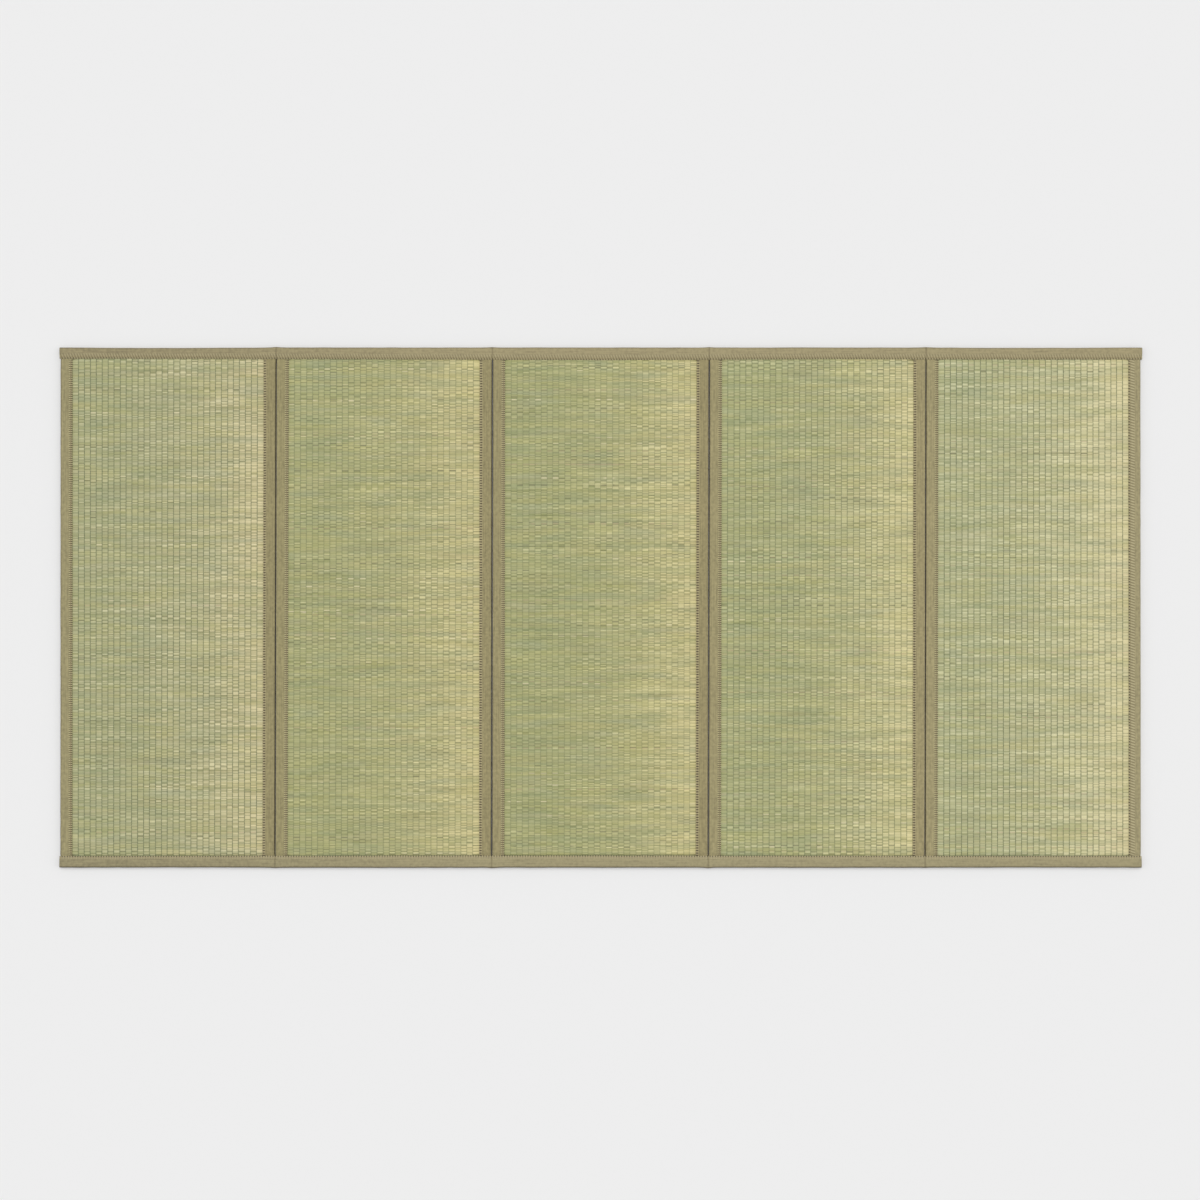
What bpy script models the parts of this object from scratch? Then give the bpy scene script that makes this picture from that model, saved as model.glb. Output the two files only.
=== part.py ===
# A folding rush mat: five woven panels in a row. Each has a cloth tape folded round its two
# side edges, and one long tape at each end is folded round all five, so the mat folds there.
# X runs along the mat, Y across it and Z up. The origin is the middle of the underside.

from math import cos, pi, radians, sin

import bmesh
import bpy

MAT_LENGTH = 2.080  # over the ends of the two long tapes
MAT_WIDTH = 1.000  # over the folded edges of the two long tapes
MAT_THICKNESS = 0.008
PANEL_COUNT = 5
PANEL_PITCH = MAT_LENGTH / PANEL_COUNT

RIB_COUNT = 32  # ribs of the weave on one panel, about 11.5 mm apart
RIB_DEPTH = 0.0008
RIB_CROWN = 0.5  # share of a rib's width that is its crown

SIDE_TAPE_WIDTH = 0.0230
TAPE_THICKNESS = 0.0010  # the cloth with its hem turned under
FOLD_RADIUS = 0.0026  # outer radius of a tape's folded edge
FOLD_STEPS = 3  # faces round a quarter of that fold
GAP = 0.0003  # between pieces that lie against each other
PRESS = TAPE_THICKNESS + GAP  # how far a tape presses down what is under it
SETBACK = FOLD_RADIUS + GAP  # from a side tape's fold to the panel's edge inside it
END_SETBACK = 0.0038  # from the mat's width to what is inside the long tapes, clear of their bows
DIP = 0.005  # width of the slope beside a pressed strip

PEAK_REACH = 0.020  # how far each side of a slit a long tape's fold stands out
CREASE_REACH = 0.003
CREASE_DEPTH = 0.0006
SLIT_STEPS = (-PEAK_REACH, -PEAK_REACH / 2, -CREASE_REACH, 0, CREASE_REACH, PEAK_REACH / 2, PEAK_REACH)

SMOOTH_ANGLE = radians(30)  # faces that meet at less than this are shaded as one surface
RUSH_ROUGHNESS = 0.62
TAPE_ROUGHNESS = 0.85

# Side edges of the panels from left to right: place, gap there, lean over the mat's width
SIDE_LINES = (
    (-MAT_LENGTH / 2 + 0.0015, 0.0, 0.0005),
    (-1.5 * PANEL_PITCH - 0.0010, 0.0020, 0.0024),
    (-0.5 * PANEL_PITCH - 0.0010, 0.0026, 0.0015),
    (0.5 * PANEL_PITCH - 0.0005, 0.0024, 0.0019),
    (1.5 * PANEL_PITCH, 0.0018, 0.0019),
    (MAT_LENGTH / 2 - 0.0025, 0.0, -0.0008),
)

# Each long tape: side of the mat, its ends' distance inside the mat's length at left and right,
# for each panel its width and how far its fold bows out, and its fold's peak at each slit
END_TAPES = {
    "back": {
        "side": 1,
        "insets": (0.0003, 0.0),
        "widths": (0.0218, 0.0230, 0.0244, 0.0228, 0.0234),
        "bows": (-0.0009, 0.0, 0.0, 0.0, -0.0008),
        "peaks": (0.0012, 0.0009, 0.0009, 0.0007),
    },
    "front": {
        "side": -1,
        "insets": (0.0, 0.0010),
        "widths": (0.0226, 0.0232, 0.0234, 0.0230, 0.0226),
        "bows": (-0.0005, 0.0003, 0.0, 0.0002, -0.0004),
        "peaks": (0.0007, 0.0009, 0.0012, 0.0006),
    },
}

# Colours in sRGB, one for each panel and for the tapes beside it, then the long tapes
RUSH_COLOURS = ("ACAA81", "ACA97C", "AAA87B", "ADAC7F", "B4B38A")
SIDE_TAPE_COLOURS = ("9E9672", "9B926D", "9B926D", "9D946F", "A29977")
END_TAPE_COLOURS = {"back": "9D9474", "front": "A19676"}


def linear(hex_colour):
    """The colour of an sRGB hex value as linear red, green, blue and alpha."""
    parts = [int(hex_colour[i : i + 2], 16) / 255 for i in (0, 2, 4)]
    return [p / 12.92 if p <= 0.04045 else ((p + 0.055) / 1.055) ** 2.4 for p in parts] + [1]


def make_material(name, hex_colour, roughness):
    material = bpy.data.materials.new(name)
    material.use_nodes = True
    shader = material.node_tree.nodes["Principled BSDF"]
    shader.inputs["Base Color"].default_value = linear(hex_colour)
    shader.inputs["Roughness"].default_value = roughness
    shader.inputs["Metallic"].default_value = 0.0
    material.diffuse_color = linear(hex_colour)
    return material


def loft(name, rings, material):
    """A closed solid through rings of points, with a flat face on the first and last ring."""
    shape = bmesh.new()
    loops = [[shape.verts.new(point) for point in ring] for ring in rings]
    for near, far in zip(loops, loops[1:]):
        for i, vert in enumerate(near):
            shape.faces.new((near[i - 1], vert, far[i], far[i - 1]))
    shape.faces.new(loops[0])
    shape.faces.new(loops[-1])
    bmesh.ops.recalc_face_normals(shape, faces=shape.faces)
    mesh = bpy.data.meshes.new(name)
    shape.to_mesh(mesh)
    shape.free()
    mesh.shade_smooth()
    mesh.set_sharp_from_angle(angle=SMOOTH_ANGLE)
    mesh.materials.append(material)
    bpy.context.scene.collection.objects.link(bpy.data.objects.new(name, mesh))


def between(places, values, place):
    """The value at a place, on straight lines between the given ones."""
    if place <= places[0]:
        return values[0]
    for i in range(1, len(places)):
        if place <= places[i]:
            share = (place - places[i - 1]) / (places[i] - places[i - 1])
            return values[i - 1] + share * (values[i] - values[i - 1])
    return values[-1]


def side_line(index, y, side):
    """X of a panel's side edge: side is 1 on the right of the line's gap and -1 on its left."""
    place, gap, lean = SIDE_LINES[index]
    return place + side * gap / 2 + lean * y / MAT_WIDTH


def panel_centre(index):
    return (index + 0.5 - PANEL_COUNT / 2) * PANEL_PITCH


def slit_place(tape, index):
    """X of a slit where a long tape crosses it."""
    place, _, lean = SIDE_LINES[index + 1]
    return place + lean * tape["side"] / 2


def tape_width(tape, x):
    centres = [panel_centre(i) for i in range(PANEL_COUNT)]
    return between(centres, tape["widths"], x)


def inner_edge(tape, x):
    """Y of a long tape's inner edge, measured out from the mat's middle."""
    return MAT_WIDTH / 2 - tape_width(tape, x)


def fold_edge(tape, x):
    """Y of a long tape's fold, measured out from the mat's middle."""
    along = (x + MAT_LENGTH / 2) / PANEL_PITCH
    index = min(max(int(along), 0), PANEL_COUNT - 1)
    y = MAT_WIDTH / 2 + tape["bows"][index] * sin(pi * min(max(along - index, 0), 1))
    for slit, height in enumerate(tape["peaks"]):
        near = 1 - abs(x - slit_place(tape, slit)) / PEAK_REACH
        y += height * max(near, 0) ** 2
    return y


def stations(x):
    """Y and press from a long tape's edges, for one place along the mat, front to back."""
    rows = []
    for tape, order in ((END_TAPES["front"], 1), (END_TAPES["back"], -1)):
        edge = inner_edge(tape, x) - GAP
        half = [(MAT_WIDTH / 2 - END_SETBACK, PRESS), (edge, PRESS), (edge - DIP, 0.0)]
        rows += [(tape["side"] * y, press) for y, press in half[::order]]
    return rows


def panel_top(index, y):
    """X, press from the side tapes and groove depth along a panel's top, left to right."""
    left = side_line(index, y, 1)
    right = side_line(index + 1, y, -1)
    bare_left = left + SIDE_TAPE_WIDTH + GAP
    bare_right = right - SIDE_TAPE_WIDTH - GAP
    pitch = (bare_right - bare_left) / RIB_COUNT
    points = [(left + SETBACK, PRESS, 0.0), (bare_left, PRESS, 0.0)]
    for rib in range(RIB_COUNT):
        for share, depth in ((0, RIB_DEPTH), ((1 - RIB_CROWN) / 2, 0), ((1 + RIB_CROWN) / 2, 0)):
            x = bare_left + (rib + share) * pitch
            if x > bare_left:
                press = PRESS * max(0, 1 - min(x - bare_left, bare_right - x) / DIP)
                points.append((x, press, depth))
    return points + [(bare_right, PRESS, 0.0), (right - SETBACK, PRESS, 0.0)]


def panel_under(index, y):
    """X and press along a panel's flat underside, right to left."""
    left = side_line(index, y, 1)
    right = side_line(index + 1, y, -1)
    steps = ((SETBACK, PRESS), (SIDE_TAPE_WIDTH + GAP, PRESS), (SIDE_TAPE_WIDTH + GAP + DIP, 0))
    points = [(right - step, press) for step, press in steps]
    points.append((panel_centre(index), 0))
    return points + [(left + step, press) for step, press in steps[::-1]]


def make_panel(index):
    rings = []
    for row, (row_y, row_press) in enumerate(stations(panel_centre(index))):
        ring = []
        for x, press, depth in panel_top(index, row_y):
            flat = (1 - press / PRESS) * (1 - row_press / PRESS)
            z = MAT_THICKNESS - press - row_press - depth * flat
            ring.append((x, stations(x)[row][0], z))
        for x, press in panel_under(index, row_y):
            ring.append((x, stations(x)[row][0], press + row_press))
        rings.append(ring)
    rush = make_material(f"rush_{index + 1}", RUSH_COLOURS[index], RUSH_ROUGHNESS)
    loft(f"panel_{index + 1}", rings, rush)


def tape_section(fold, inner, low, high, out):
    """A folded tape's outline as (place, height): fold and inner are its two edges and out is
    the way that its fold points, 1 or -1."""
    outline = []
    for inset, order in ((0.0, 1), (TAPE_THICKNESS, -1)):
        radius = FOLD_RADIUS - inset
        centre = fold - out * FOLD_RADIUS
        skin = [(inner, high - inset)]
        for quarter, level in ((0, high - inset - radius), (1, low + inset + radius)):
            for step in range(FOLD_STEPS + 1):
                angle = pi / 2 * (quarter + step / FOLD_STEPS)
                skin.append((centre + out * radius * sin(angle), level + radius * cos(angle)))
        skin.append((inner, low + inset))
        outline += skin[::order]
    return outline


def make_side_tape(index, side):
    """The tape on a panel's left (-1) or right (1) edge, which dips under the long tapes."""
    line = index if side < 0 else index + 1
    rings = []
    for y, press in stations(side_line(line, 0, -side) - side * SIDE_TAPE_WIDTH / 2):
        fold = side_line(line, y, -side)
        inner = fold - side * SIDE_TAPE_WIDTH
        section = tape_section(fold, inner, press, MAT_THICKNESS - press, side)
        rings.append([(x, y, z) for x, z in section])
    name = f"side_binding_{index + 1}_{'left' if side < 0 else 'right'}"
    cloth = make_material(name.replace("binding", "tape"), SIDE_TAPE_COLOURS[index], TAPE_ROUGHNESS)
    loft(name, rings, cloth)


def end_tape_places(tape):
    """The places along a long tape that its shape needs: its ends, its slits and between."""
    left, right = tape["insets"]
    places = [-MAT_LENGTH / 2 + left, MAT_LENGTH / 2 - right]
    for index in range(PANEL_COUNT):
        places += [panel_centre(index) + share * PANEL_PITCH for share in (-0.25, 0, 0.25)]
    for slit in range(PANEL_COUNT - 1):
        places += [slit_place(tape, slit) + step for step in SLIT_STEPS]
    return sorted(places)


def make_end_tape(name, tape):
    rings = []
    for x in end_tape_places(tape):
        near = min(abs(x - slit_place(tape, slit)) for slit in range(PANEL_COUNT - 1))
        crease = CREASE_DEPTH * max(0, 1 - near / CREASE_REACH)
        section = tape_section(fold_edge(tape, x), inner_edge(tape, x), 0, MAT_THICKNESS - crease, 1)
        rings.append([(x, tape["side"] * y, z) for y, z in section])
    cloth = make_material(f"end_tape_{name}", END_TAPE_COLOURS[name], TAPE_ROUGHNESS)
    loft(f"end_binding_{name}", rings, cloth)


def clear_scene():
    for thing in list(bpy.data.objects):
        bpy.data.objects.remove(thing)


def main():
    clear_scene()
    for index in range(PANEL_COUNT):
        make_panel(index)
        make_side_tape(index, -1)
        make_side_tape(index, 1)
    for name, tape in END_TAPES.items():
        make_end_tape(name, tape)


main()
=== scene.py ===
# Folding rush mat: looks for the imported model
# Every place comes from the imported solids, so each piece lies exactly where its solid does

import bpy
import numpy as np
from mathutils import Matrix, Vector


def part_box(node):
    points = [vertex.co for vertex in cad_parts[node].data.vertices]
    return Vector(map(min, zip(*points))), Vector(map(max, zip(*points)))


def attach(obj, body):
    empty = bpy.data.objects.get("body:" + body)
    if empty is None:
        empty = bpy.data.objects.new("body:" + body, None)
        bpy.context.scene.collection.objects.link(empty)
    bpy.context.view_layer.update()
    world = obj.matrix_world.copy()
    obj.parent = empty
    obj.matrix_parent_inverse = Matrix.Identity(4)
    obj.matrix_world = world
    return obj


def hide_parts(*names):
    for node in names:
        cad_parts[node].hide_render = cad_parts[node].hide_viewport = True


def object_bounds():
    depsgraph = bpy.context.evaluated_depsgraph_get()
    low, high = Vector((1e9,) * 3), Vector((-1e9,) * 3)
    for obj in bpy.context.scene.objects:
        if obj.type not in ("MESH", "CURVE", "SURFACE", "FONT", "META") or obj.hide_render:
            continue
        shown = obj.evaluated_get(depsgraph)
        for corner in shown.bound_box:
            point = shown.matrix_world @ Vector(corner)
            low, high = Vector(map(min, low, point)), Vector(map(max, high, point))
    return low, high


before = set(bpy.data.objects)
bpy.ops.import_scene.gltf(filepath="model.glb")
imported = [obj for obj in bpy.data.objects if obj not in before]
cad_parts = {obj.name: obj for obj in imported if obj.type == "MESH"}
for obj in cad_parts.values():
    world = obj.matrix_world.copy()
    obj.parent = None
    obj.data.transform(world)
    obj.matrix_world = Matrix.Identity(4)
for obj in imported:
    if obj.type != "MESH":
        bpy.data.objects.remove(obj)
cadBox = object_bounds()
print("frame loaded:", len(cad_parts), "solids")

panelCount = 5
matTop = cadBox[1][2]  # level of the ribs' crowns and of the tapes' tops
gap = 0.0003  # between solids that lie against each other
mm = 0.001
halfWidth = 0.5  # from the mat's middle to its long tapes' folds

# The photograph is 1200 pixels square and looks straight down
photo = {
    "size": 1200,
    "matWide": 1083.0,  # pixels that the mat's length takes
    "matMiddle": (600.8, 607.6),  # where the mat's middle shows, from the top left
    "lens": 50.0,  # mm
    "sensor": 36.0,  # mm
}


def makeCamera():
    pixel = (cadBox[1][0] - cadBox[0][0]) / photo["matWide"]  # metres on the mat's top
    focalPixels = photo["lens"] / photo["sensor"] * photo["size"]
    data = bpy.data.cameras.new("photoCamera")
    data.lens = photo["lens"]
    data.sensor_width = photo["sensor"]
    camera = bpy.data.objects.new("photoCamera", data)
    half = photo["size"] / 2
    across = (half - photo["matMiddle"][0]) * pixel
    up = (photo["matMiddle"][1] - half) * pixel
    camera.location = (across, up, matTop + focalPixels * pixel)
    bpy.context.scene.collection.objects.link(camera)
    bpy.context.scene.camera = camera


makeCamera()
print("camera placed")


# sRGB hex to linear red, green, blue and alpha
def linearColour(hexColour):
    parts = [int(hexColour[i : i + 2], 16) / 255 for i in (0, 2, 4)]
    return [p / 12.92 if p <= 0.04045 else ((p + 0.055) / 1.055) ** 2.4 for p in parts] + [1]


# Adds a shader node: inputs are numbers, colours or other nodes' outputs, stops are a ramp's
def addNode(tree, kind, inputs=(), output=0, stops=(), **settings):
    node = tree.nodes.new("ShaderNode" + kind)
    for name, value in settings.items():
        setattr(node, name, value)
    for key, value in inputs.items() if isinstance(inputs, dict) else enumerate(inputs):
        if isinstance(value, bpy.types.NodeSocket):
            tree.links.new(value, node.inputs[key])
        else:
            node.inputs[key].default_value = value
    if stops:
        elements = node.color_ramp.elements
        for element, (place, colour) in zip(elements, (stops[0], stops[-1])):
            element.position = place
            element.color = linearColour(colour)
        for place, colour in stops[1:-1]:
            elements.new(place).color = linearColour(colour)
    return node.outputs[output]


mixFactor, mixFirst, mixSecond, mixColour = 0, 6, 7, 2  # a Mix node's sockets for colours


def newMaterial(name):
    material = bpy.data.materials.new(name)
    material.use_nodes = True
    return material, material.node_tree, material.node_tree.nodes["Principled BSDF"]


# Where the solids' edges lie

def nodePoints(name):
    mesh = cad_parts[name].data
    points = np.empty(len(mesh.vertices) * 3, np.float32)
    mesh.vertices.foreach_get("co", points)
    return points.reshape(-1, 3).astype(float)


# A leaning edge of a solid, as its place at the mat's middle and its slope
def leaningEdge(name, choose):
    points = nodePoints(name)
    front, back = points[:, 1].min(), points[:, 1].max()
    ends = [choose(points[np.abs(points[:, 1] - y) < gap, 0]) for y in (front, back)]
    slope = (ends[1] - ends[0]) / (back - front)
    return ends[0] - slope * front, slope


def edgeAt(edge, y):
    return edge[0] + edge[1] * y


# Where a ray along an axis first meets a solid
def meet(name, start, direction):
    _, place, _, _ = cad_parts[name].ray_cast(start, direction)
    return sum(abs(part) * where for part, where in zip(direction, place))


# A long tape's fold, inner edge and top at places along the mat
def longTapeEdges(end, places):
    name = "end_binding_" + end
    out = 1 if end == "back" else -1
    low, high = (corner[0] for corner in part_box(name))
    inside = np.clip(places, low + gap / 10, high - gap / 10)
    onTape = 5 * mm  # from its inner edge, where its top is met
    hem = matTop - 0.8 * mm  # a level inside the tape's upper layer, also at its creases
    folds = [meet(name, (x, out, matTop / 2), (0, -out, 0)) for x in inside]
    inners = [meet(name, (x, 0, hem), (0, out, 0)) for x in inside]
    tops = [meet(name, (x, y + out * onTape, 1), (0, 0, -1)) for x, y in zip(inside, inners)]
    return np.array(folds), np.array(inners), np.array(tops)


sideTapes = [(index, side) for index in range(panelCount) for side in ("left", "right")]
foldEdges, innerEdges = {}, {}
for index, side in sideTapes:
    name = f"side_binding_{index + 1}_{side}"
    outer, inner = (min, max) if side == "left" else (max, min)
    foldEdges[index, side] = leaningEdge(name, outer)
    innerEdges[index, side] = leaningEdge(name, inner)

edgeSamples = 400
longPlaces = np.linspace(cadBox[0][0], cadBox[1][0], edgeSamples)
longInners = {end: longTapeEdges(end, longPlaces)[1] for end in ("back", "front")}


# How far inside the long tapes' inner edges a place lies
def fromLongTapes(x, y):
    back = np.interp(x, longPlaces, longInners["back"]) - gap - y
    front = y - np.interp(x, longPlaces, longInners["front"]) - gap
    return np.minimum(back, front)


# From 1 under a tape to 0 a slope's width away from it
def pressedShare(distance, slope):
    share = np.clip(1 - distance / slope, 0, 1)
    return share * share * (3 - 2 * share)


# Smooth unevenness along a line, with a random height every so often
def waver(random, places, spacing, size):
    count = (places - places.min()) / spacing
    heights = random.uniform(-size, size, int(count.max()) + 2)
    low = count.astype(int)
    share = count - low
    share = share * share * (3 - 2 * share)
    return heights[low] * (1 - share) + heights[low + 1] * share


# A piece made of closed tubes: each run is an array of ring, point and coordinate, and marks
# are numbers for each point that the materials read
def makePiece(name, runs, marks, material):
    corners, starts, points, first, corner = [], [], [], 0, 0
    values = {key: [] for key in marks}
    for run, rings in enumerate(runs):
        following = np.roll(rings[0], -1, 0)
        facing = np.cross(rings[0] - rings[0].mean(0), following - rings[0].mean(0)).sum(0)
        order = slice(None, None, 1 if facing @ (rings[1] - rings[0]).mean(0) > 0 else -1)
        rings = rings[:, order]
        ringCount, pointCount = rings.shape[:2]
        grid = first + np.arange(ringCount * pointCount).reshape(ringCount, pointCount)
        near, far = grid[:-1], grid[1:]
        quads = np.stack([near, np.roll(near, -1, 1), np.roll(far, -1, 1), far], axis=-1)
        corners += [quads.ravel(), grid[0, ::-1], grid[-1]]
        quadCorners = quads.size
        starts += [corner + np.arange(0, quadCorners, 4)]
        starts += [[corner + quadCorners, corner + quadCorners + pointCount]]
        corner += quadCorners + 2 * pointCount
        first += ringCount * pointCount
        points.append(rings.reshape(-1, 3))
        for key in marks:
            values[key].append(marks[key][run][:, order].ravel())
    corners, starts, points = (np.concatenate(part) for part in (corners, starts, points))
    mesh = bpy.data.meshes.new(name)
    mesh.vertices.add(len(points))
    mesh.vertices.foreach_set("co", points.astype(np.float32).ravel())
    mesh.loops.add(len(corners))
    mesh.loops.foreach_set("vertex_index", corners.astype(np.int32))
    mesh.polygons.add(len(starts))
    mesh.polygons.foreach_set("loop_start", starts.astype(np.int32))
    mesh.update(calc_edges=True)
    for key, parts in values.items():
        mark = mesh.attributes.new(key, "FLOAT", "POINT")
        mark.data.foreach_set("value", np.concatenate(parts).astype(np.float32))
    mesh.shade_smooth()
    mesh.materials.append(material)
    piece = bpy.data.objects.new(name, mesh)
    bpy.context.scene.collection.objects.link(piece)
    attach(piece, "root")
    return piece


# Woven rush: dried rush stalks on hemp warps, beaten close in a damp loom. The waxy skins
# are a little glossy, green to straw yellow, and paler towards the stalks' root ends
rush = {
    "stalks": 4,  # that show side by side in one bunch
    # How much of a shade changes slowly along a row and along a stalk, how much a stalk keeps
    # all along and how much a short length has of its own
    "rowShare": 0.50,
    "slowShare": 0.76,
    "stalkShare": 0.14,
    "lengthShare": 0.23,
    "stops": (
        (0.0, "686A40"),
        (0.28, "929464"),
        (0.5, "ACAC7F"),
        (0.72, "C4C095"),
        (1.0, "E8E2B8"),
    ),
    # Tones of a few stalks together: tone, level of the noise above which they show, strength
    "patches": (
        ("94A07A", 0.46, 0.27),
        ("B4A676", 0.50, 0.20),
        ("C2BC74", 0.48, 0.25),
        ("A9AC90", 0.54, 0.20),
    ),
    # Tones of single stalks: tone, share of the stalks, level of the noise, strength
    "strays": (
        ("E6DBB2", 0.022, 0.54, 0.65),
        ("C0A084", 0.009, 0.42, 0.35),
        ("7C7A58", 0.030, 0.50, 0.60),
    ),
    "rootTint": "FFF5ED",
    # Colours of painted shade: in the warps' grooves and under the front tape, then in the seams
    # between bunches and stalks
    "grooveShadeColour": "505D3C",
    "seamShadeColour": "66663F",
    "frontShade": (0.5 * mm, 3.0 * mm, 0.5),  # full up to one distance, none past another
    "roughness": 0.56,
    # How far the noises move on, in their own units
    "slowRib": 0.105,
    "nextStalk": 3.7,
    "nextBunch": 5.3,
    "hueRib": 0.11,
    "hueRow": 0.22,
    "lines": 5.0,  # fine lines in a step from one bunch to the next
    "lineShare": 0.35,
    "awayShare": 0.35,  # of the steady shade of the stalk two further on
    "rootStart": 5.0,  # the rib at which the root ends begin
    "rootPower": 1.8,
    "rootContrast": 0.3,
    "patchFade": 0.14,
    "strayFade": 0.06,
    # Half widths of the lines of painted shade in the crevices, as shares of a bunch, a stalk and a
    # rib
    "bunchSeam": 0.12,
    "stalkSeam": 0.18,
    "ribGroove": 0.11,
    "stalkDepth": 0.36,
    # Gain and start of the noises that make these lines uneven
    "bunchUneven": (3.2, -0.7),
    "lengthUneven": (0.9, 0.55),
    "bump": (0.6, 0.0003),  # strength, and height in metres
    # For each panel: tint, its lift towards straw, how dark the painted shade in its grooves and in
    # its seams between bunches is, and how much paler the root ends are
    "panels": (
        {"tint": "F8FAF6", "lift": 0.112, "groove": 0.78, "seam": 0.82, "rootEnds": 0.28},
        {"tint": "F9FBE9", "lift": 0.060, "groove": 0.47, "seam": 0.86, "rootEnds": 0.34},
        {"tint": "F8FBE8", "lift": 0.035, "groove": 0.38, "seam": 0.76, "rootEnds": 0.37},
        {"tint": "FBFFF1", "lift": 0.060, "groove": 0.62, "seam": 0.76, "rootEnds": 0.39},
        {"tint": "FBFFFA", "lift": 0.175, "groove": 0.83, "seam": 0.60, "rootEnds": 0.40},
    ),
}


def wovenRush(index):
    look = rush["panels"][index]
    material, tree, shader = newMaterial(f"woven rush {index + 1}")
    ribCount = addNode(tree, "Attribute", output="Fac", attribute_name="ribCount")
    pickCount = addNode(tree, "Attribute", output="Fac", attribute_name="pickCount")
    fromFront = addNode(tree, "Attribute", output="Fac", attribute_name="fromFront")
    rib = addNode(tree, "Math", [ribCount], operation="FLOOR")
    acrossRib = addNode(tree, "Math", [ribCount], operation="FRACT")
    parity = addNode(tree, "Math", [rib, 2.0], operation="FLOORED_MODULO")
    shifted = addNode(tree, "Math", [pickCount, parity], operation="ADD")
    bunchPlace = addNode(tree, "Math", [shifted, 0.5], operation="MULTIPLY")
    bunch = addNode(tree, "Math", [bunchPlace], operation="FLOOR")
    acrossBunch = addNode(tree, "Math", [bunchPlace], operation="FRACT")
    stalkPlace = addNode(tree, "Math", [bunchPlace, float(rush["stalks"])], operation="MULTIPLY")
    stalk = addNode(tree, "Math", [stalkPlace], operation="FLOOR")
    acrossStalk = addNode(tree, "Math", [stalkPlace], operation="FRACT")

    # A stalk shows on every second rib, and its shade changes slowly from its tip to its root.
    # Its shade is drawn away from that of the stalk two further on, so the tones stay crisp
    panelSeed = 17.0 * (index + 1)  # what is added to it keeps the noises apart
    twoOn = addNode(tree, "Math", [stalk, 2.0], operation="ADD")
    rowPlace = addNode(tree, "Math", [pickCount, rush["stalks"] / 2], operation="MULTIPLY")
    row = addNode(tree, "Math", [rowPlace], operation="FLOOR")
    slowRib = addNode(tree, "Math", [ribCount, rush["slowRib"]], operation="MULTIPLY")
    farStalk = addNode(tree, "Math", [stalk, rush["nextStalk"]], operation="MULTIPLY")
    farRow = addNode(tree, "Math", [row, rush["nextStalk"]], operation="MULTIPLY")
    lengthName = addNode(tree, "CombineXYZ", [stalk, rib, panelSeed + 9])
    lengthShade = addNode(tree, "TexWhiteNoise", [lengthName], noise_dimensions="3D")
    parts = [(lengthShade, rush["lengthShare"])]
    slow = (
        ((slowRib, farRow, panelSeed + 3), rush["rowShare"]),
        ((slowRib, farStalk, panelSeed), rush["slowShare"]),
    )
    for name, share in slow:
        place = addNode(tree, "CombineXYZ", name)
        noise = addNode(tree, "TexNoise", {"Vector": place, "Scale": 1.0, "Detail": 1.0})
        parts.append((noise, share))
    steady = ((stalk, rush["stalkShare"]), (twoOn, -rush["awayShare"] * rush["stalkShare"]))
    for name, share in steady:
        place = addNode(tree, "CombineXYZ", [name, parity, panelSeed + 5])
        parts.append((addNode(tree, "TexWhiteNoise", [place], noise_dimensions="3D"), share))
    shade = 0.0
    for part, size in parts:
        centred = addNode(tree, "Math", [part, 0.5], operation="SUBTRACT")
        shade = addNode(tree, "Math", [centred, size, shade], operation="MULTIPLY_ADD")

    # The stalks' root ends lie to the right, paler, warmer and less even
    lastRib = float(weave["ribs"])
    endShare = addNode(tree, "MapRange", [ribCount, rush["rootStart"], lastRib, 0.0, 1.0])
    rootEnds = addNode(tree, "Math", [endShare, rush["rootPower"]], operation="POWER")
    contrast = addNode(
        tree, "Math", [rootEnds, rush["rootContrast"], 1.0], operation="MULTIPLY_ADD"
    )
    level = 0.5 + look["lift"]
    level = addNode(tree, "Math", [rootEnds, look["rootEnds"], level], operation="MULTIPLY_ADD")
    shade = addNode(tree, "Math", [shade, contrast, level], operation="MULTIPLY_ADD")
    colour = addNode(tree, "ValToRGB", [shade], stops=rush["stops"])
    layers = [  # what the colour is mixed with in turn: how much, with which tone and how
        (rootEnds, rush["rootTint"], "MULTIPLY"),
        (1.0, look["tint"], "MULTIPLY"),
    ]

    # Green, tan, yellow and grey stalks lie several together, a good way along the row
    hueRib = addNode(tree, "Math", [ribCount, rush["hueRib"]], operation="MULTIPLY")
    hueRow = addNode(tree, "Math", [pickCount, rush["hueRow"]], operation="MULTIPLY")
    for number, (tone, level, strength) in enumerate(rush["patches"]):
        place = addNode(tree, "CombineXYZ", [hueRib, hueRow, panelSeed + 50 + number])
        patch = addNode(tree, "TexNoise", {"Vector": place, "Scale": 1.0, "Detail": 1.0})
        full = level + rush["patchFade"]
        amount = addNode(tree, "MapRange", [patch, level, full, 0.0, strength])
        layers.append((amount, tone, "MIX"))

    # Single ivory, pink and dark stalks, each for a short length
    hueName = addNode(tree, "CombineXYZ", [stalk, parity, panelSeed + 21])
    hue = addNode(tree, "TexWhiteNoise", [hueName], noise_dimensions="3D")
    patchName = addNode(tree, "CombineXYZ", [slowRib, farStalk, panelSeed + 31])
    patches = addNode(tree, "TexNoise", {"Vector": patchName, "Scale": 2.0, "Detail": 1.0})
    low = 0.0
    for tone, share, level, strength in rush["strays"]:
        above = addNode(tree, "Math", [hue, low], operation="GREATER_THAN")
        below = addNode(tree, "Math", [hue, low + share], operation="LESS_THAN")
        full = level + rush["strayFade"]
        here = addNode(tree, "MapRange", [patches, level, full, 0.0, strength])
        both = addNode(tree, "Math", [above, below], operation="MULTIPLY")
        amount = addNode(tree, "Math", [both, here], operation="MULTIPLY")
        layers.append((amount, tone, "MIX"))
        low += share
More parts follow.
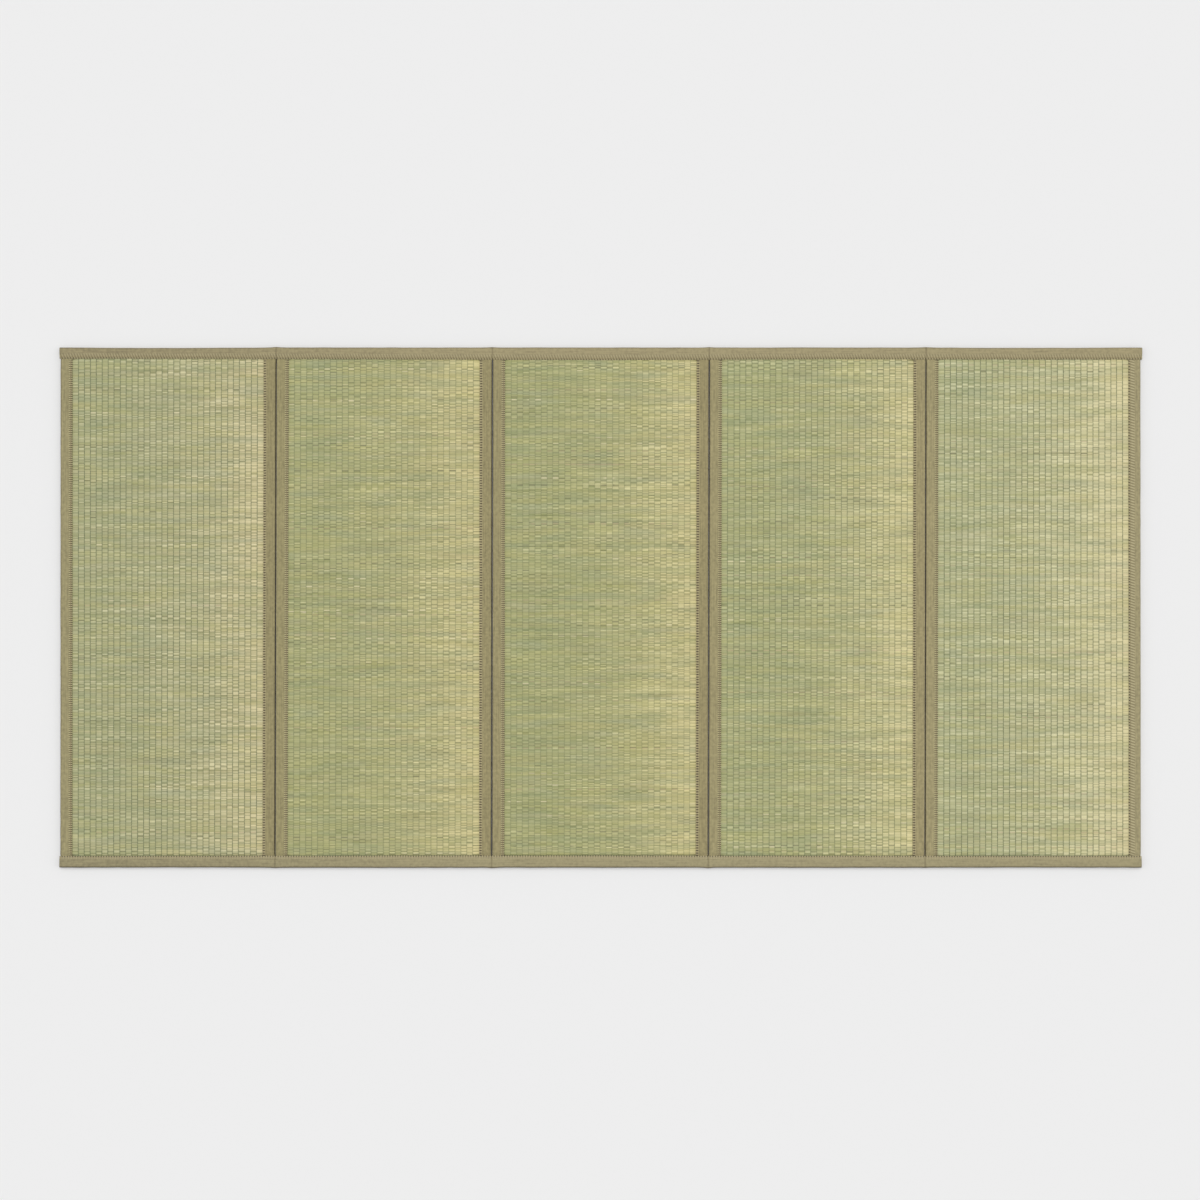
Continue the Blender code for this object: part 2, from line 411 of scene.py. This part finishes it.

    # Painted shade in the crevices between bunches and between stalks, and in the warps' grooves
    # between ribs
    farBunch = addNode(tree, "Math", [bunch, rush["nextBunch"], parity], operation="MULTIPLY_ADD")
    edgeName = addNode(tree, "CombineXYZ", [slowRib, farBunch, panelSeed + 41])
    edgeShade = addNode(tree, "TexNoise", {"Vector": edgeName, "Scale": 1.5, "Detail": 1.0})
    edgeDepth = addNode(tree, "Math", [edgeShade, *rush["bunchUneven"]], operation="MULTIPLY_ADD")
    lengthDepth = addNode(tree, "Math", [lengthShade, *rush["lengthUneven"]], operation="MULTIPLY_ADD")
    seams = (
        (acrossBunch, rush["bunchSeam"], look["seam"], edgeDepth, rush["seamShadeColour"]),
        (acrossStalk, rush["stalkSeam"], rush["stalkDepth"], lengthDepth, rush["seamShadeColour"]),
        (acrossRib, rush["ribGroove"], look["groove"], lengthDepth, rush["grooveShadeColour"]),
    )
    for place, wide, strength, uneven, tone in seams:
        offset = addNode(tree, "Math", [place, 0.5], operation="SUBTRACT")
        distance = addNode(tree, "Math", [offset], operation="ABSOLUTE")
        line = addNode(tree, "MapRange", [distance, 0.5 - wide, 0.5, 0.0, strength])
        amount = addNode(tree, "Math", [line, uneven], operation="MULTIPLY")
        layers.append((amount, tone, "MIX"))

    # The rush lies in shade where it goes in under the front tape
    full, none, strength = rush["frontShade"]
    shadeAmount = addNode(tree, "MapRange", [fromFront, full, none, strength, 0.0])
    layers.append((shadeAmount, rush["grooveShadeColour"], "MIX"))
    for amount, tone, blend in layers:
        mix = {mixFactor: amount, mixFirst: colour, mixSecond: linearColour(tone)}
        colour = addNode(tree, "Mix", mix, mixColour, data_type="RGBA", blend_type=blend)
    tree.links.new(colour, shader.inputs["Base Color"])

    # Each stalk is a low round ridge with fine lengthwise lines, which are drawn 0.6 mm apart
    offset = addNode(tree, "Math", [acrossStalk, 0.5], operation="SUBTRACT")
    squared = addNode(tree, "Math", [offset, offset], operation="MULTIPLY")
    ridge = addNode(tree, "Math", [squared, -2.0, 0.5], operation="MULTIPLY_ADD")
    lineName = addNode(tree, "CombineXYZ", [slowRib, pickCount, panelSeed])
    lines = addNode(tree, "TexNoise", {"Vector": lineName, "Scale": rush["lines"], "Detail": 2.0})
    height = addNode(tree, "Math", [lines, rush["lineShare"], ridge], operation="MULTIPLY_ADD")
    strength, high = rush["bump"]
    bump = addNode(tree, "Bump", {"Strength": strength, "Distance": high, "Height": height})
    tree.links.new(bump, shader.inputs["Normal"])
    shader.inputs["Roughness"].default_value = rush["roughness"]
    return material


weave = {
    "ribs": 32,
    "pick": 0.0033,  # mean step from one bunch of stalks to the next, on the rib beside it
    "spread": 0.48,  # unevenness of that step
    "ribSpread": 0.035,  # unevenness of the ribs' places, as a share of their width
    "groove": 0.0011,  # depth between two ribs
    "shoulder": 0.20,  # share of a rib's width that each of its flanks takes
    "bulge": 0.45,  # share of the groove's depth by which a bunch stands up from its edges
    "lowest": 0.55,  # height of the lowest bunch, as a share of the highest
    "roundness": 0.6,
    "flattened": 0.8,  # share of the relief that a tape presses flat beside it
    "press": 0.0024,  # how far a tape presses the rush down
    "lift": 0.0014,  # how far a tape under the mat lifts it
    "slope": 0.0040,  # width of the slope beside a tape
    "hidden": 0.0030,  # rows further under a long tape than this are left out
    "bow": 0.0003,  # how far each waver bends the rows
    "bowWavers": 3,
    "bowSpacing": (0.07, 0.09),  # of the wavers' heights, along the mat and across it
    "bareEnds": 0.12,  # share of the outer ribs' width without painted groove shade, beside the tapes
    "seed": 7,
}


def makePanel(index):
    random = np.random.default_rng([weave["seed"], index])
    name = f"panel_{index + 1}"
    low, high = (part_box(name)[end][1] for end in (0, 1))
    count = round((high - low) / weave["pick"])
    heights = random.uniform(1 - weave["spread"], 1 + weave["spread"], count)
    edges = np.append(0, np.cumsum(heights)) / heights.sum()
    picks = np.arange(2 * count + 1) / 2
    rows = low + (high - low) * np.interp(picks, np.arange(count + 1), edges)
    middle = (innerEdges[index, "left"][0] + innerEdges[index, "right"][0]) / 2
    shown = fromLongTapes(middle, rows) > -weave["hidden"]
    shown[[0, -1]] = True
    picks, rows = picks[shown, None], rows[shown, None]

    ribs = weave["ribs"]
    flanks = (0, weave["shoulder"], 1 - weave["shoulder"])
    steps = np.append((np.arange(ribs)[:, None] + flanks).ravel(), ribs)
    crown = np.append(np.tile((0, 1, 1), ribs), 0)
    ribEdges = np.arange(ribs + 1) + random.uniform(-1, 1, ribs + 1) * weave["ribSpread"]
    ribEdges[[0, -1]] = 0, ribs
    left = edgeAt(leaningEdge(name, min), rows)
    right = edgeAt(leaningEdge(name, max), rows)
    bareLeft = edgeAt(innerEdges[index, "left"], rows) + gap
    bareRight = edgeAt(innerEdges[index, "right"], rows) - gap
    pitch = (bareRight - bareLeft) / ribs
    bare = bareLeft + pitch * np.interp(steps, np.arange(ribs + 1), ribEdges)
    x = np.hstack([left, bareLeft - mm, bare, bareRight + mm, right])
    marked = np.clip(steps, weave["bareEnds"], ribs - weave["bareEnds"]) + 0 * pitch
    ribMarks = np.hstack([(x[:, :2] - bareLeft) / pitch, marked, (x[:, -2:] - bareLeft) / pitch])
    crown = np.concatenate([[0, 0], crown, [0, 0]])

    rib = np.clip(np.floor(ribMarks), 0, ribs - 1).astype(int)
    bunch = (picks + rib % 2) / 2
    bunchHeights = random.uniform(weave["lowest"], 1, (ribs, count))
    height = bunchHeights[rib, np.minimum(bunch, count - 1).astype(int)]
    swell = np.abs(np.sin(np.pi * bunch)) ** weave["roundness"]
    bySide = pressedShare(np.minimum(x - bareLeft, bareRight - x), weave["slope"])
    byEnd = pressedShare(fromLongTapes(x, rows), weave["slope"])
    relief = weave["groove"] * (1 - weave["flattened"] * np.maximum(bySide, byEnd))
    sunk = (1 - crown) + crown * weave["bulge"] * (1 - swell * height)
    z = matTop - weave["press"] * (bySide + byEnd) - relief * sunk
    y = rows + 0 * x
    alongSpacing, acrossSpacing = weave["bowSpacing"]
    for _ in range(weave["bowWavers"]):
        stray = waver(random, x[0], alongSpacing, 1)[None, :]
        stray = stray * waver(random, rows[:, 0], acrossSpacing, 1)[:, None]
        y = y + weave["bow"] * stray

    slope = weave["slope"]
    underX = np.hstack([right, bareRight, bareRight - slope, bareLeft + slope, bareLeft, left])
    underSide = pressedShare(np.minimum(underX - bareLeft, bareRight - underX), slope)
    underZ = weave["lift"] * (underSide + pressedShare(fromLongTapes(underX, rows), slope))
    rings = np.stack(
        [np.hstack([x, underX]), np.hstack([y, rows + 0 * underX]), np.hstack([z, underZ])],
        axis=-1,
    )
    marks = {
        "ribCount": [np.hstack([ribMarks, (underX - bareLeft) / pitch])],
        "pickCount": [picks + 0 * rings[:, :, 0]],
        "fromFront": [rings[:, :, 1] - np.interp(middle, longPlaces, longInners["front"])],
    }
    piece = makePiece(f"rush_panel_{index + 1}", [rings], marks, wovenRush(index))
    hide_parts(name)


for index in range(panelCount):
    makePanel(index)
print("rush panels woven")


# Cotton twill tape, woven narrow and dyed khaki: a matt, faintly streaked cloth with fine
# diagonal lines. Its threads are 0.4 mm apart, so the diagonals are drawn 2.4 mm apart to show
cotton = {
    "diagonal": 0.0024,
    "diagonalShare": 0.15,
    "streak": 0.0018,  # width of the lengthwise streaks
    "mottle": 0.0060,
    "unevenness": 1.5,  # contrast of streaks and mottling
    "sideTints": {
        "left": ("9C936C", "9A9168", "9B9169", "9E946C", "A0966E"),
        "right": ("978D65", "988E66", "998E66", "9E936B", "A09671"),
    },
    "longTints": {"back": "988D6B", "front": "958C6B"},
    "longLift": 0.30,  # how much lighter a long tape is past its first panel
    "liftPlaces": (0.2, 0.8),  # metres along it between which it grows lighter
    "streakWaves": 14.0,  # of the streaks' noise in a metre along the tape
    "darkest": 0.72,
    "lightest": 1.28,
    "hole": (0.6 * mm, 1.2 * mm),  # a needle hole's dark and faded reach
    "puckerFade": 2 * mm,
    "waleRelief": 0.2,
    "holeRelief": -1.5,
    "bump": (0.6, 0.0004),  # strength, and height in metres
    "sheen": (0.15, 0.5),  # weight and roughness
    # Colour of the painted shade along folds and at creases
    "foldShadeColour": "4D4431",
    # Colour of the painted shade in the needle holes
    "holeShadeColour": "2E281B",
    # Painted shade at a long tape's creases over the slits
    "crease": (0.4 * mm, 2.6 * mm, 0.36),  # a long tape's: dark up to, faded at, how dark
    # Painted shade along a fold: full up to one distance from it, none past another, and how much
    "rims": {
        "leftmost": (0.6 * mm, 2.8 * mm, 0.80),
        "rightmost": (0.4 * mm, 2.6 * mm, 0.25),
        "slit": (-0.1 * mm, 0.68 * mm, 0.92),
        "back": (0.6 * mm, 2.8 * mm, 0.55),
        "front": (1.1 * mm, 3.8 * mm, 0.84),
    },
    "roughness": 0.9,
}

# Each seam: its thread zigzags between two rows of needle holes, near and far from the tape's
# inner edge. Beside it the cloth puckers, in painted light and shade, and each near hole is a
# dash of painted shade. The outer right seam is sewn with the other right seams' thread
seams = {
    "left": {
        "pitch": 0.0041, "near": 0.0010, "far": 0.0050, "thread": "8F7A5C",
        "reach": 0.0054, "pucker": 1.00, "dark": "645A40", "light": "C4BC8E", "slant": 0.0,
        "hole": 0.50, "holePlace": 0.0012, "holeStretch": 1.2,
    },
    "right": {
        "pitch": 0.0049, "near": 0.0012, "far": 0.0042, "thread": "9A8D68",
        "reach": 0.0044, "pucker": 0.60, "dark": "8A7E60", "light": "CABE94", "slant": 0.0,
        "hole": 1.00, "holePlace": 0.0026, "holeStretch": 2.4,
    },
    "outer right": {
        "pitch": 0.0053, "near": 0.0012, "far": 0.0042,
        "reach": 0.0100, "pucker": 0.66, "dark": "7A6F50", "light": "C8BE96", "slant": 60.0,
        "hole": 0.90, "holePlace": 0.0010, "holeStretch": 1.5,
    },
    "back": {
        "pitch": 0.0053, "near": 0.0012, "far": 0.0068, "thread": "A3946C",
        "reach": 0.0090, "pucker": 0.54, "dark": "7E7254", "light": "BCB28C", "slant": 70.0,
        "hole": 0.60, "holePlace": 0.0016, "holeStretch": 1.5,
    },
    "front": {
        "pitch": 0.0050, "near": 0.0008, "far": 0.0046, "thread": "A59A72",
        "reach": 0.0040, "pucker": 0.60, "dark": "A0957A", "light": "C2B690", "slant": 0.0,
        "hole": 1.00, "holePlace": 0.0004, "holeStretch": 1.5,
    },
}


def twillCotton(name, tint, seam, rim, lift=0.0):
    material, tree, shader = newMaterial(name)
    along = addNode(tree, "Attribute", output="Fac", attribute_name="alongTape")
    across = addNode(tree, "Attribute", output="Fac", attribute_name="acrossTape")
    fromEdge = addNode(tree, "Attribute", output="Fac", attribute_name="fromEdge")
    fromFold = addNode(tree, "Attribute", output="Fac", attribute_name="fromFold")
    fromCrease = addNode(tree, "Attribute", output="Fac", attribute_name="fromCrease")
    slanted = addNode(tree, "Math", [along, across], operation="ADD")
    turns = addNode(tree, "Math", [slanted, 2 * np.pi / cotton["diagonal"]], operation="MULTIPLY")
    wale = addNode(tree, "Math", [turns], operation="SINE")
    streakAlong = addNode(tree, "Math", [along, cotton["streakWaves"]], operation="MULTIPLY")
    streakAcross = addNode(tree, "Math", [across, 1 / cotton["streak"]], operation="MULTIPLY")
    streakPlace = addNode(tree, "CombineXYZ", [streakAlong, streakAcross, 0.0])
    streaks = addNode(tree, "TexNoise", {"Vector": streakPlace, "Scale": 1.0, "Detail": 2.0})
    mottlePlace = addNode(tree, "CombineXYZ", [along, across, 0.0])
    mottleScale = 1 / cotton["mottle"]
    mottles = addNode(
        tree, "TexNoise", {"Vector": mottlePlace, "Scale": mottleScale, "Detail": 3.0}
    )
    base = linearColour(tint)
    dark = [value * cotton["darkest"] for value in base[:3]] + [1]
    light = [value * cotton["lightest"] for value in base[:3]] + [1]
    both = addNode(tree, "Math", [streaks, mottles], operation="ADD")
    uneven = cotton["unevenness"]
    tone = addNode(tree, "Math", [both, uneven, 0.5 - uneven], operation="MULTIPLY_ADD")
    tone = addNode(tree, "Math", [wale, cotton["diagonalShare"], tone], operation="MULTIPLY_ADD")
    lifted = addNode(tree, "MapRange", [along, *cotton["liftPlaces"], 0.0, lift])
    tone = addNode(tree, "Math", [tone, lifted], operation="ADD")
    mix = {mixFactor: tone, mixFirst: dark, mixSecond: light}
    colour = addNode(tree, "Mix", mix, mixColour, data_type="RGBA")

    # The seam's puckers in painted light and shade and its holes' dashes of painted shade, both in
    # step with its stitches
    count = addNode(tree, "Math", [along, seam["pitch"]], operation="DIVIDE")
    leaned = addNode(tree, "Math", [fromEdge, seam["slant"], count], operation="MULTIPLY_ADD")
    angle = addNode(tree, "Math", [leaned, 2 * np.pi], operation="MULTIPLY")
    cosine = addNode(tree, "Math", [angle], operation="COSINE")
    wave = addNode(tree, "Math", [cosine, 0.5, 0.5], operation="MULTIPLY_ADD")
    puckerPaintedLight, puckerPaintedShade = linearColour(seam["light"]), linearColour(seam["dark"])
    mix = {mixFactor: wave, mixFirst: puckerPaintedLight, mixSecond: puckerPaintedShade}
    puckerPaintedShading = addNode(tree, "Mix", mix, mixColour, data_type="RGBA")
    reach, faded = seam["reach"], seam["reach"] + cotton["puckerFade"]
    pucker = addNode(tree, "MapRange", [fromEdge, reach, faded, seam["pucker"], 0.0])
    shifted = addNode(tree, "Math", [count, 0.5], operation="ADD")
    share = addNode(tree, "Math", [shifted], operation="FRACT")
    holeShare = addNode(tree, "Math", [share, 0.5], operation="SUBTRACT")
    holeAlong = addNode(tree, "Math", [holeShare, seam["pitch"]], operation="MULTIPLY")
    holeOffset = addNode(tree, "Math", [fromEdge, seam["holePlace"]], operation="SUBTRACT")
    holeAcross = addNode(tree, "Math", [holeOffset, seam["holeStretch"]], operation="DIVIDE")
    place = addNode(tree, "CombineXYZ", [holeAlong, holeAcross, 0.0])
    distance = addNode(tree, "VectorMath", [place], "Value", operation="LENGTH")
    hole = addNode(tree, "MapRange", [distance, *cotton["hole"], seam["hole"], 0.0])

    # Painted shade along the fold, and at a long tape's creases
    fullRim, noRim, rimShare = cotton["rims"][rim]
    foldShade = addNode(tree, "MapRange", [fromFold, fullRim, noRim, rimShare, 0.0])
    crease = addNode(tree, "MapRange", [fromCrease, *cotton["crease"], 0.0])
    layers = (
        (pucker, puckerPaintedShading),
        (hole, linearColour(cotton["holeShadeColour"])),
        (foldShade, linearColour(cotton["foldShadeColour"])),
        (crease, linearColour(cotton["foldShadeColour"])),
    )
    for amount, tone in layers:
        mix = {mixFactor: amount, mixFirst: colour, mixSecond: tone}
        colour = addNode(tree, "Mix", mix, mixColour, data_type="RGBA")
    tree.links.new(colour, shader.inputs["Base Color"])
    swells = addNode(tree, "Math", [wave, pucker], operation="MULTIPLY")
    relief = addNode(tree, "Math", [wale, cotton["waleRelief"], mottles], operation="MULTIPLY_ADD")
    relief = addNode(tree, "Math", [swells, -1.0, relief], operation="MULTIPLY_ADD")
    relief = addNode(tree, "Math", [hole, cotton["holeRelief"], relief], operation="MULTIPLY_ADD")
    strength, high = cotton["bump"]
    bump = addNode(tree, "Bump", {"Strength": strength, "Distance": high, "Height": relief})
    tree.links.new(bump, shader.inputs["Normal"])
    shader.inputs["Roughness"].default_value = cotton["roughness"]
    shader.inputs["Sheen Weight"].default_value = cotton["sheen"][0]
    shader.inputs["Sheen Roughness"].default_value = cotton["sheen"][1]
    return material


# Spun polyester sewing thread, two fine plies twisted together: dull, with a faint sheen. Its
# twist is 0.5 mm long, too fine to show, so it is drawn as 1.5 mm light and dark lengths
thread = {
    "radius": 0.00036,
    "rises": {1: (-0.00045, 0.00030), -1: (0.00012,)},  # over and under: at a hole, then halfway
    "twist": 1.5 * mm,
    "darkest": 0.7,
    "lightest": 1.3,
    "roughness": 0.6,
}


def spunPolyester(name, tint):
    material, tree, shader = newMaterial(name)
    places = addNode(tree, "TexCoord", output="Object")
    plies = addNode(tree, "TexNoise", {"Vector": places, "Scale": 1 / thread["twist"], "Detail": 0.0})
    base = linearColour(tint)
    dark = [value * thread["darkest"] for value in base[:3]] + [1]
    light = [value * thread["lightest"] for value in base[:3]] + [1]
    mix = {mixFactor: plies, mixFirst: dark, mixSecond: light}
    colour = addNode(tree, "Mix", mix, mixColour, data_type="RGBA")
    tree.links.new(colour, shader.inputs["Base Color"])
    shader.inputs["Roughness"].default_value = thread["roughness"]
    return material


# The folded tapes. The hem's profile gives distances from the tape's inner edge and how far
# the seam draws the cloth in there, on both faces of the mat
tape = {
    "thickness": 0.0009,
    "hem": ((0.0, 0.0019), (0.0006, 0.0014), (0.0036, 0.0010), (0.0075, 0.00035), (0.0115, 0.0)),
    "underHem": 0.3,  # share of that depth on the underside
    "foldDepth": 0.0028,
    "foldSquareness": 2.5,  # 2 is an ellipse
    "foldSteps": 8,
    "sag": ((0.0, 0.9), (0.35, 1.0), (0.65, 0.3), (1.0, 0.0)),  # of the fold, from floor to top
    "press": 0.0022,  # how far a long tape presses a side tape down
    "lift": 0.0014,  # and lifts it underneath
    "slope": 0.0050,
    "edgeWaver": 0.0003,
    "foldWaver": 0.0002,
    "topWaver": 0.00012,
    "waverSpacing": 0.022,
    "sideStations": 100,
    "longStations": 330,
    "nearLongTape": (0.0, 0.0012, 0.0025, 0.0038, 0.0050),  # stations on a side tape's slope
    "nearSlit": (0.0, 0.0012, 0.0030, 0.0060, 0.0100),  # stations at a long tape's crease
    "seed": 23,
}


# A folded tape's outline at each station: distances from the fold inwards and heights
def tapeSection(width, top, bottom, sag):
    thick = tape["thickness"]
    middle, half = (top + bottom) / 2, (top - bottom) / 2
    power = 2 / tape["foldSquareness"]
    places = []
    for distance, depth in tape["hem"]:
        places.append((width - distance, top - depth))
    for step in range(tape["foldSteps"] + 1):
        cosine = np.cos(np.pi * step / tape["foldSteps"])
        sine = np.sin(np.pi * step / tape["foldSteps"]) ** power
        rise = np.sign(cosine) * abs(cosine) ** power
        out = sag * np.interp((rise + 1) / 2, *np.array(tape["sag"]).T) * sine
        places.append((tape["foldDepth"] * (1 - sine) - out, middle + half * rise))
    for distance, depth in tape["hem"][::-1]:
        places.append((width - distance, bottom + depth * tape["underHem"]))
    outerCount = len(places)
    edgeDepth = tape["hem"][1][1]
    inside = tape["foldDepth"]
    places.append((width, bottom + edgeDepth * tape["underHem"] + thick))
    places.append((width - tape["hem"][-1][0], bottom + thick))
    places.append((inside, bottom + thick))
    places.append((thick, middle))
    places.append((inside, top - thick))
    places.append((width - tape["hem"][-1][0], top - thick))
    places.append((width, top - edgeDepth - thick))
    inwards = np.stack([place[0] + 0 * width for place in places], axis=1)
    heights = np.stack([place[1] for place in places], axis=1)
    steps = np.hypot(np.diff(inwards, axis=1), np.diff(heights, axis=1))
    across = np.hstack([0 * width[:, None], np.cumsum(steps, axis=1)])
    return inwards, heights, across, across[:, outerCount - 1].mean()


# Places along a zigzag thread: how far along, how far from the tape's inner edge, and height
def zigzag(start, stop, seam, rises):
    legs = 2 * int((stop - start) / seam["pitch"])
    step = np.arange(legs * len(rises) + 1)
    leg, part = np.divmod(step, len(rises))
    share = part / len(rises)
    share = np.where(leg % 2 == 0, share, 1 - share)
    along = start + step / len(rises) * seam["pitch"] / 2
    return along, seam["near"] + share * (seam["far"] - seam["near"]), np.array(rises)[part]


# Four-sided rings round a thread
def threadRings(places):
    along = np.gradient(places, axis=0)
    up = np.array([0.0, 0.0, 1.0])
    side = np.cross(along, up)
    side /= np.linalg.norm(side, axis=1)[:, None]
    offsets = (side, up + 0 * side, -side, -up + 0 * side)
    return np.stack([places + thread["radius"] * offset for offset in offsets], axis=1)


# A folded tape and the thread sewn through it, both from the tape's shape
def makeTape(kind, where, shape, seam, cloth, yarn):
    along, fold, inner, order = (shape[key] for key in ("along", "fold", "inner", "order"))
    inward = np.sign(inner[0] - fold[0])
    width = np.abs(inner - fold)
    top, bottom = shape["top"], shape["bottom"]
    inwards, heights, across, clothWidth = tapeSection(width, top, bottom, shape["sag"])
    everywhere = 0 * inwards
    rings = (along[:, None] + everywhere, fold[:, None] + inward * inwards, heights)
    marks = {
        "alongTape": [along[:, None] - along[0] + everywhere],
        "acrossTape": [across],
        "fromEdge": [width[:, None] - inwards],
        "fromFold": [inwards],
        "fromCrease": [shape["fromCrease"][:, None] + everywhere],
    }
    rings = np.stack([rings[axis] for axis in order], axis=-1)
    piece = makePiece(f"{kind}_tape_{where}", [rings], marks, cloth)
    runs = []
    for face, level, hemShare in ((1, top, 1), (-1, bottom, tape["underHem"])):
        place, offset, rise = zigzag(*shape["sewn"], seam, thread["rises"][face])
        hemDepth = np.interp(offset, *np.array(tape["hem"]).T) * hemShare
        height = np.interp(place, along, level) + face * (rise - hemDepth)
        line = (place, np.interp(place, along, inner) - inward * offset, height)
        runs.append(threadRings(np.stack([line[axis] for axis in order], axis=-1)))
    sewn = makePiece(f"{kind}_stitching_{where}", runs, {}, yarn)
    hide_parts(f"{kind}_binding_{where}")


# The two folds at a slit sag out near the floor until they almost meet
def slitSag(index, side, y, fold):
    neighbour = (index - 1, "right") if side == "left" else (index + 1, "left")
    if neighbour not in foldEdges:
        return 0
    middle = (edgeAt(foldEdges[index, side], y) + edgeAt(foldEdges[neighbour], y)) / 2
    return np.abs(middle - fold) - gap / 2


# A side tape runs on under both long tapes, which press it flat there
def sideShape(index, side):
    random = np.random.default_rng([tape["seed"], index, side == "left"])
    low, high = (corner[1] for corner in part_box(f"side_binding_{index + 1}_{side}"))
    middle = (foldEdges[index, side][0] + innerEdges[index, side][0]) / 2
    frontEdge = np.interp(middle, longPlaces, longInners["front"]) + gap
    backEdge = np.interp(middle, longPlaces, longInners["back"]) - gap
    near = np.array(tape["nearLongTape"])
    even = np.linspace(low, high, tape["sideStations"])
    y = np.sort(np.concatenate([even, frontEdge + near, backEdge - near]))
    pressed = pressedShare(fromLongTapes(middle, y), tape["slope"])
    fold, inner, top = (
        waver(random, y, tape["waverSpacing"], tape[size])
        for size in ("foldWaver", "edgeWaver", "topWaver")
    )
    fold = fold + edgeAt(foldEdges[index, side], y)
    return {
        "order": (1, 0, 2),  # its length lies along y
        "along": y,
        "fold": fold,
        "inner": edgeAt(innerEdges[index, side], y) + inner,
        "top": matTop - tape["press"] * pressed + top,
        "bottom": tape["lift"] * pressed,
        "sag": slitSag(index, side, y, fold),
        "fromCrease": y - low + 1,  # it has no crease, so all of it lies far from one
        "sewn": (frontEdge, backEdge - gap),
    }


sideThread = {
    side: spunPolyester(f"spun polyester {side}", seams[side]["thread"])
    for side in ("left", "right")
}
for index, side in sideTapes:
    shape = sideShape(index, side)
    outermost = (index, side) in (sideTapes[0], sideTapes[-1])
    rim = side + "most" if outermost else "slit"
    tint = cotton["sideTints"][side][index]
    seam = seams["outer right" if (index, side) == sideTapes[-1] else side]
    cloth = twillCotton(f"twill cotton {index + 1} {side}", tint, seam, rim)
    makeTape("side", f"{index + 1}_{side}", shape, seam, cloth, sideThread[side])
print("side tapes folded and sewn")


# A long tape wraps all the panels' ends, and creases at each slit
def longShape(end):
    random = np.random.default_rng([tape["seed"], end == "back", panelCount])
    low, high = (corner[0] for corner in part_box("end_binding_" + end))
    y = halfWidth if end == "back" else -halfWidth
    slits = [
        (edgeAt(foldEdges[index, "right"], y) + edgeAt(foldEdges[index + 1, "left"], y)) / 2
        for index in range(panelCount - 1)
    ]
    near = np.array(tape["nearSlit"])
    x = [np.linspace(low, high, tape["longStations"])]
    x += [slit + side * near for slit in slits for side in (-1, 1)]
    x = np.unique(np.concatenate(x))
    fold, inner, top = longTapeEdges(end, x)
    return {
        "order": (0, 1, 2),  # its length lies along x
        "along": x,
        "fold": fold + waver(random, x, tape["waverSpacing"], tape["foldWaver"]),
        "inner": inner + waver(random, x, tape["waverSpacing"], tape["edgeWaver"]),
        "top": top + waver(random, x, tape["waverSpacing"], tape["topWaver"]),
        "bottom": 0 * top,
        "sag": 0,
        "fromCrease": np.abs(x[:, None] - slits).min(axis=1),
        "sewn": (low + mm, high - mm),
    }


for end in ("back", "front"):
    cloth = twillCotton(
        f"twill cotton {end}", cotton["longTints"][end], seams[end], end, cotton["longLift"]
    )
    yarn = spunPolyester(f"spun polyester {end}", seams[end]["thread"])
    makeTape("end", end, longShape(end), seams[end], cloth, yarn)
print("long tapes folded and sewn")


# A plain pale floor. Soft light comes from all round, rather more from the back, and a little
# from each side, so the ribs' flanks show
studio = {
    "floorSize": 30.0,
    "floorTone": "F1F1F1",
    "floorRoughness": 0.9,
    "floorSpecular": 0.1,
    "roomLight": 0.50,
    "softSuns": (  # where each comes from, its strength and its spread in degrees
        ((0.0, 0.35, 1.0), 1.30, 60),
        ((-2.0, 0.2, 1.0), 0.28, 40),
        ((2.0, 0.2, 1.0), 0.28, 40),
    ),
}


def makeStudio():
    half = studio["floorSize"] / 2
    mesh = bpy.data.meshes.new("floor")
    corners = [(-half, -half, -gap), (half, -half, -gap), (half, half, -gap), (-half, half, -gap)]
    mesh.from_pydata(corners, [], [(0, 1, 2, 3)])
    material, _, shader = newMaterial("matt paper floor")
    shader.inputs["Base Color"].default_value = linearColour(studio["floorTone"])
    shader.inputs["Roughness"].default_value = studio["floorRoughness"]
    shader.inputs["Specular IOR Level"].default_value = studio["floorSpecular"]
    mesh.materials.append(material)
    floor = bpy.data.objects.new("floor", mesh)
    bpy.context.scene.collection.objects.link(floor)
    for number, (place, strength, spread) in enumerate(studio["softSuns"]):
        data = bpy.data.lights.new(f"softSun{number + 1}", "SUN")
        data.energy = strength
        data.angle = np.radians(spread)
        lamp = bpy.data.objects.new(f"softSun{number + 1}", data)
        lamp.location = place
        lamp.rotation_euler = (-lamp.location).to_track_quat("-Z", "Y").to_euler()
        bpy.context.scene.collection.objects.link(lamp)
    world = bpy.data.worlds.new("room")
    world.use_nodes = True
    world.node_tree.nodes["Background"].inputs["Strength"].default_value = studio["roomLight"]
    world.node_tree.nodes["Background"].inputs["Color"].default_value = (1, 1, 1, 1)
    bpy.context.scene.world = world
    bpy.context.scene.view_settings.view_transform = "Standard"


makeStudio()
print("floor and lamps placed")
